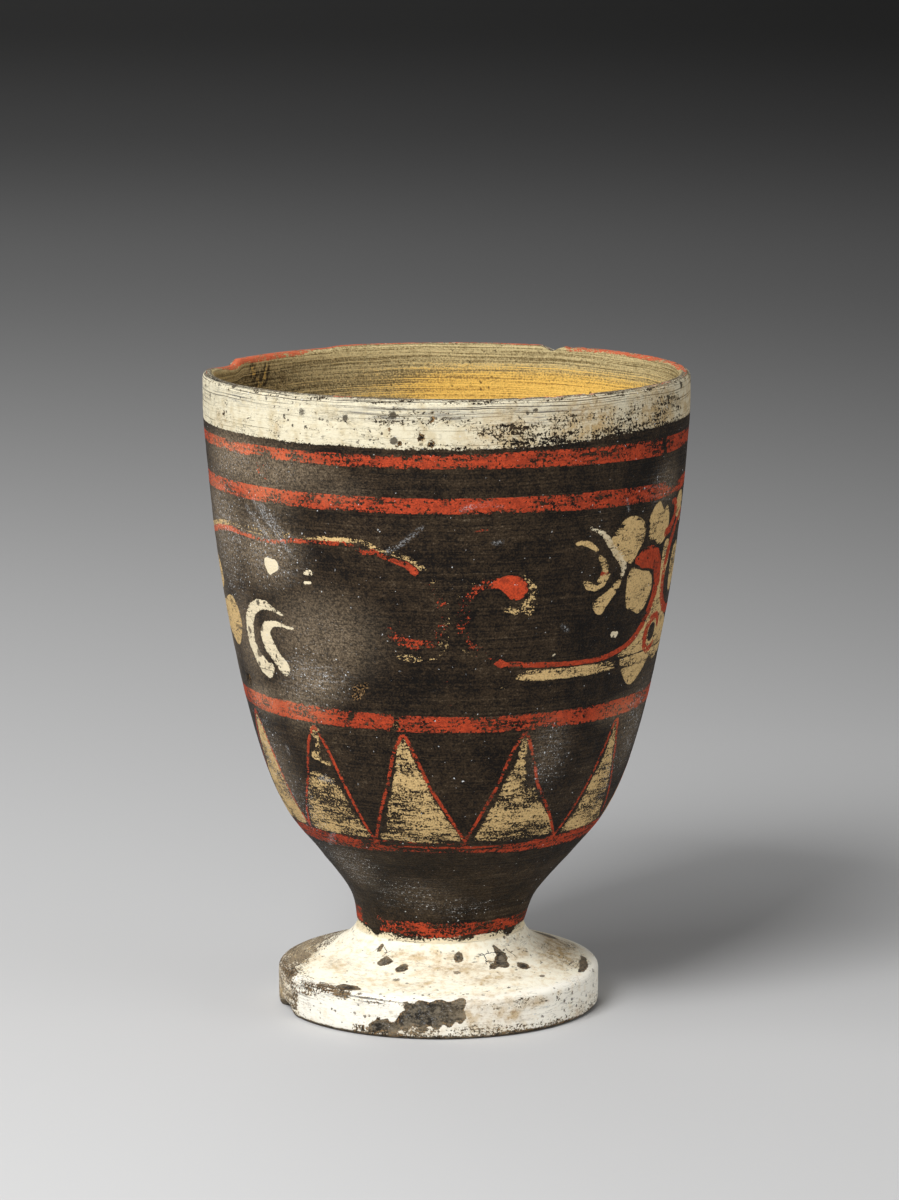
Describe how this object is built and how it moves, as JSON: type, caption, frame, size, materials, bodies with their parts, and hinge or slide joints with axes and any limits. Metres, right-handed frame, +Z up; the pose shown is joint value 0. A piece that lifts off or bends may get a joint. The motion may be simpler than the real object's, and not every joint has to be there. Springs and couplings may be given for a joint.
{
  "type": "earthenware goblet",
  "caption": "Footed drinking goblet of painted earthenware: a deep open bowl on a short solid stem and a thick disc foot.",
  "frame": {"origin": "on the resting plane, under the axis of the bowl, at the middle of the goblet's outline", "axes": "+Z up along the bowl's axis, -Y towards the best kept painted side, +X to that side's right"},
  "size_m": [0.1, 0.1, 0.1328],
  "materials": {
    "painted_earthenware": "matt cold-painted earthenware: brown-black ground, vermilion bands, buff scrolls and triangles, cream rim band and foot, ochre inside, all worn and flaked"
  },
  "bodies": {
    "root": {"goblet": "painted_earthenware"}
  },
  "joints": []
}
